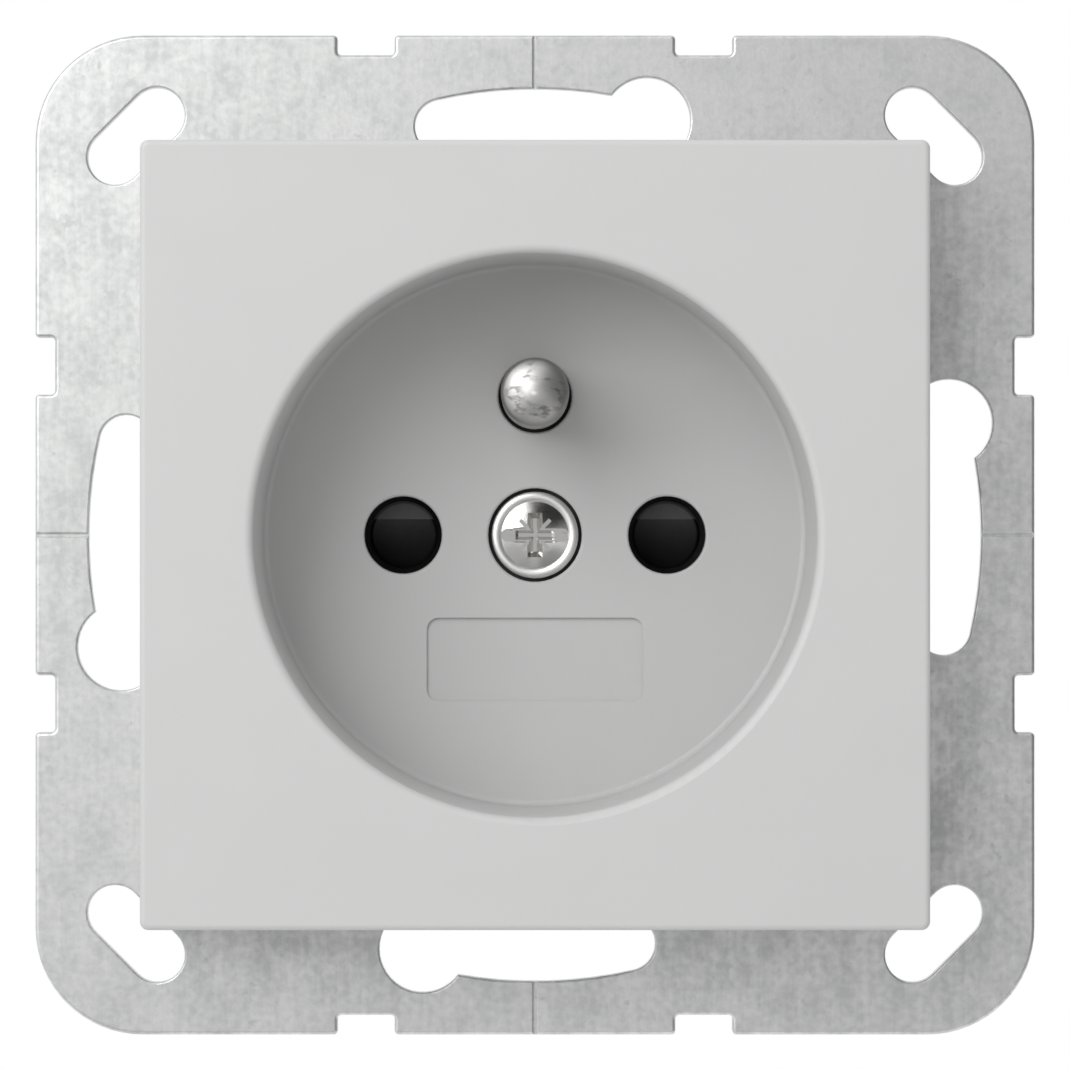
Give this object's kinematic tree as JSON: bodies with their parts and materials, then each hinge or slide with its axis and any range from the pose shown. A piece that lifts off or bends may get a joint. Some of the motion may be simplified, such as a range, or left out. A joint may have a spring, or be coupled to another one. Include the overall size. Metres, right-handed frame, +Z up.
{
  "type": "wall socket",
  "caption": "Flush wall socket insert with a square white cover, a round well with earth pin and shuttered contact holes, on a slotted metal support ring.",
  "frame": {"origin": "centre of the socket on the wall plane, which is the back of the support ring", "axes": "+X to the right, +Y into the wall, +Z up, seen from the front"},
  "size_m": [0.071, 0.0416, 0.071],
  "materials": {
    "white": "fine matt, pure white",
    "zinc": "zinc-plated sheet",
    "nickel": "bright nickel",
    "steel": "bare spring steel",
    "brass": "rolled strip",
    "black": "smooth black",
    "grey": "moulded light grey",
    "button": "moulded white"
  },
  "bodies": {
    "socket": {"support_ring": "zinc", "ring_rivets": "zinc", "cover_plate": "white", "cover_screw": "nickel", "cover_nut": "steel", "earth_pin": "nickel", "earth_strap": "brass", "shutter_guide": "black", "shutter_spring": "steel", "base_housing": "grey", "rear_cover": "grey", "rear_cover_screws": "steel", "line_contact": "brass", "neutral_contact": "brass", "line_clamp_springs": "steel", "neutral_clamp_springs": "steel", "earth_clamp_springs": "steel"},
    "shutter": {"shutter": "black"},
    "line_button": {"line_release_button": "button"},
    "neutral_button": {"neutral_release_button": "button"},
    "earth_button": {"earth_release_button": "button"}
  },
  "joints": [
    {"name": "shutter_slide", "type": "slide", "parent": "socket", "child": "shutter", "axis": [0, 0, 1], "range_m": [0, 0.006], "stiffness_N_per_m": 50, "springref_m": -0.004, "deforming": ["shutter_spring"]},
    {"name": "line_release", "type": "slide", "parent": "socket", "child": "line_button", "axis": [0, -1, 0], "range_m": [0, 0.0012], "stiffness_N_per_m": 200, "springref_m": -0.0005, "deforming": ["line_clamp_springs"]},
    {"name": "neutral_release", "type": "slide", "parent": "socket", "child": "neutral_button", "axis": [0, -1, 0], "range_m": [0, 0.0012], "stiffness_N_per_m": 200, "springref_m": -0.0005, "deforming": ["neutral_clamp_springs"]},
    {"name": "earth_release", "type": "slide", "parent": "socket", "child": "earth_button", "axis": [0, -1, 0], "range_m": [0, 0.0012], "stiffness_N_per_m": 200, "springref_m": -0.0005, "deforming": ["earth_clamp_springs"]}
  ]
}
